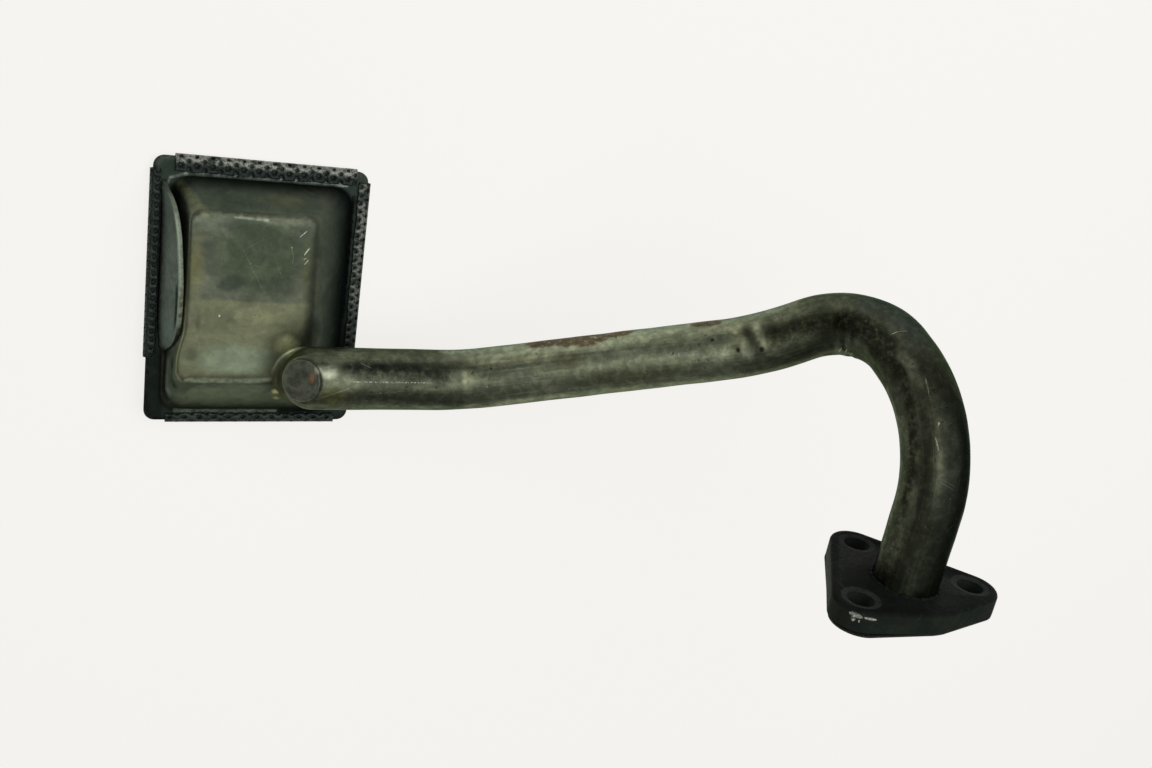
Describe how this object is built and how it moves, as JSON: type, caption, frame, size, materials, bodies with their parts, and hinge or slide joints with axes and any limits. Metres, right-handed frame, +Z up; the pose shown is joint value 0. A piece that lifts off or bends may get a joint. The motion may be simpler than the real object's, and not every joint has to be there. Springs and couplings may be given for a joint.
{
  "type": "oil pickup tube",
  "caption": "Bent steel oil pickup tube with a pressed, perforated strainer pan at one end and a thick flat bolt-on flange at the other.",
  "frame": {"origin": "on the flange's mounting face (the outer face of its gasket), 20.5 mm straight below the centre of the bore, on the land between the bore and the lower bolt hole", "axes": "-Y is the mounting face's outward normal, and the tube leaves the flange along +Y. +X runs from the strainer towards the flange, along the longest side. +Z is up: the strainer hangs below the flange with its screen facing down"},
  "size_m": [0.3376, 0.1255, 0.2203],
  "materials": {
    "pan_steel": "oil-stained bare sheet steel, mottled and scratched",
    "screen_steel": "oil-stained perforated sheet steel, worn pale at the folds",
    "tube_steel": "oil-stained drawn steel tube with light rust, pits and scratches",
    "braze": "dull brazing brass",
    "flange_steel": "dark oil-stained steel with a bright nick",
    "gasket": "dark oil-soaked gasket paper"
  },
  "bodies": {
    "root": {"strainer_housing": "pan_steel", "strainer_screen": "screen_steel", "suction_tube": "tube_steel", "tube_end_plug": "tube_steel", "neck_braze": "braze", "mounting_flange": "flange_steel", "flange_weld": "flange_steel", "flange_gasket": "gasket"}
  },
  "joints": []
}
